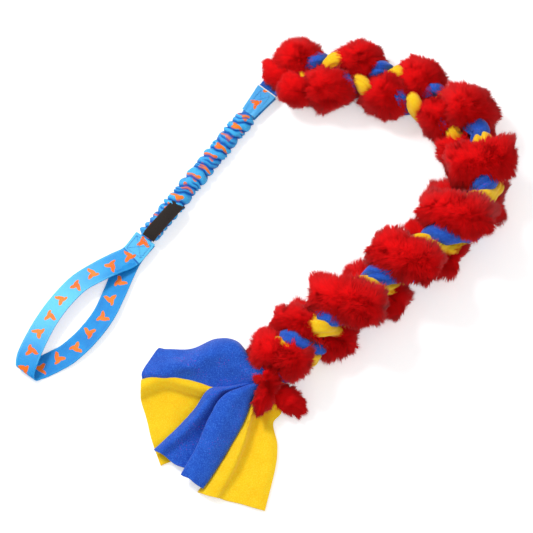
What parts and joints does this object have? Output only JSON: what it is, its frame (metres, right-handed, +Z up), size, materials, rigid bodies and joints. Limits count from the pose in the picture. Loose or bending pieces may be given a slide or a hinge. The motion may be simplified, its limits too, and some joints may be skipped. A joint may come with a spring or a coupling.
{
  "type": "dog tug toy",
  "caption": "Braided tug toy of fleece and long-pile fur strips with a tassel, a gathered stretchy sleeve and a webbing hand loop with a bare sewn label.",
  "frame": {"origin": "on the ground plane, under the middle of the toy's box", "axes": "+Z up, away from the surface the toy lies on; seen from above with +Y away, the tassel points towards -Y and the hand loop towards -X and -Y"},
  "size_m": [0.5372, 0.525, 0.0738],
  "materials": {
    "satin_webbing": "satin",
    "connector_webbing": "satin",
    "blue_fleece": "matte",
    "yellow_fleece": "matte",
    "red_fur": "matte",
    "label_weave": "matte",
    "thread": "satin",
    "elastic": "matte"
  },
  "bodies": {
    "braid": {"blue_fleece_strand": "blue_fleece", "yellow_fleece_strand": "yellow_fleece", "red_fur_strand": "red_fur", "end_whipping": "thread", "fur_tail_left": "red_fur", "fur_tail_right": "red_fur"},
    "connector": {"connector_webbing": "connector_webbing", "sleeve_hem_top": "satin_webbing", "sleeve_hem_bottom": "satin_webbing", "connector_stitching": "thread", "bungee_sleeve": "satin_webbing", "bungee_elastic": "elastic"},
    "sleeve_end": {"label": "label_weave"},
    "handle": {"handle_strap": "satin_webbing", "handle_stitching": "thread"},
    "blue_tail_upper": {"blue_tail_upper": "blue_fleece"},
    "blue_tail_lower": {"blue_tail_lower": "blue_fleece"},
    "yellow_tail_left": {"yellow_tail_left": "yellow_fleece"},
    "yellow_tail_right": {"yellow_tail_right": "yellow_fleece"}
  },
  "joints": [
    {"name": "connector_swing", "type": "hinge", "parent": "braid", "child": "connector", "pos_m": [0.00803, 0.22275, 0.0072], "axis": [-0.7934, 0.6088, 0], "range_deg": [-80, 80]},
    {"name": "bungee_stretch", "type": "slide", "parent": "connector", "child": "sleeve_end", "axis": [-0.6088, -0.7934, 0], "range_m": [0, 0.11], "deforming": ["bungee_sleeve", "bungee_elastic"]},
    {"name": "handle_fold", "type": "hinge", "parent": "sleeve_end", "child": "handle", "pos_m": [-0.13137, 0.04107, 0.01175], "axis": [-0.7934, 0.6088, 0], "range_deg": [-95, 95], "deforming": ["bungee_elastic", "bungee_sleeve"]},
    {"name": "blue_tail_upper_swing", "type": "hinge", "parent": "braid", "child": "blue_tail_upper", "pos_m": [-0.01389, -0.11997, 0.0272], "axis": [0.0995, 0.995, 0], "range_deg": [0, 80]},
    {"name": "blue_tail_lower_swing", "type": "hinge", "parent": "braid", "child": "blue_tail_lower", "pos_m": [-0.00709, -0.12597, 0.02], "axis": [-0.8, 0.6, 0], "range_deg": [0, 60]},
    {"name": "yellow_tail_left_swing", "type": "hinge", "parent": "braid", "child": "yellow_tail_left", "pos_m": [-0.01259, -0.12147, 0.002], "axis": [-0.7311, 0.6823, 0], "range_deg": [-100, 0]},
    {"name": "yellow_tail_right_swing", "type": "hinge", "parent": "braid", "child": "yellow_tail_right", "pos_m": [-0.00509, -0.12847, 0.002], "axis": [-0.7311, 0.6823, 0], "range_deg": [-100, 0]}
  ]
}
